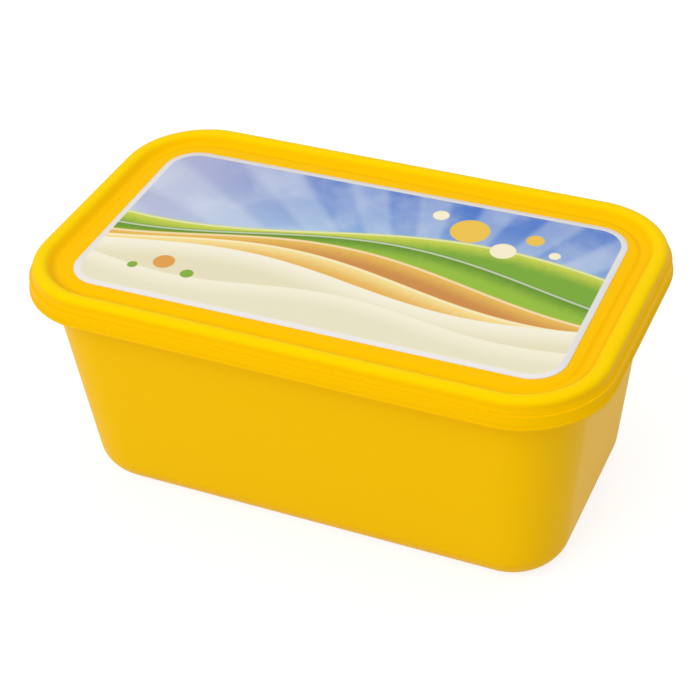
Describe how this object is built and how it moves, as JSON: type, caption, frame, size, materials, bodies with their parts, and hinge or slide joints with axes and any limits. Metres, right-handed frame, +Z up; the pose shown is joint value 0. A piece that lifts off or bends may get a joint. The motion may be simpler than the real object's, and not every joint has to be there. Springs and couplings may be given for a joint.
{
  "type": "ice cream tub",
  "caption": "Shut rectangular plastic ice cream tub with tapered walls, rounded corners, a press-on lid with a raised rim and a printed label set in the lid's panel.",
  "frame": {"origin": "middle of the base, on the surface that the tub stands on", "axes": "+X along the long side, +Y from the front to the back, +Z up through the lid"},
  "size_m": [0.1856, 0.1094, 0.0809],
  "materials": {
    "tub_plastic": "satin moulded plastic, warm yellow",
    "lid_plastic": "satin moulded plastic, bright yellow",
    "label_print": "printed film, semi-gloss, white border round fields of sky blue, green and cream"
  },
  "bodies": {
    "root": {"tub": "tub_plastic", "lid": "lid_plastic", "label": "label_print"}
  },
  "joints": []
}
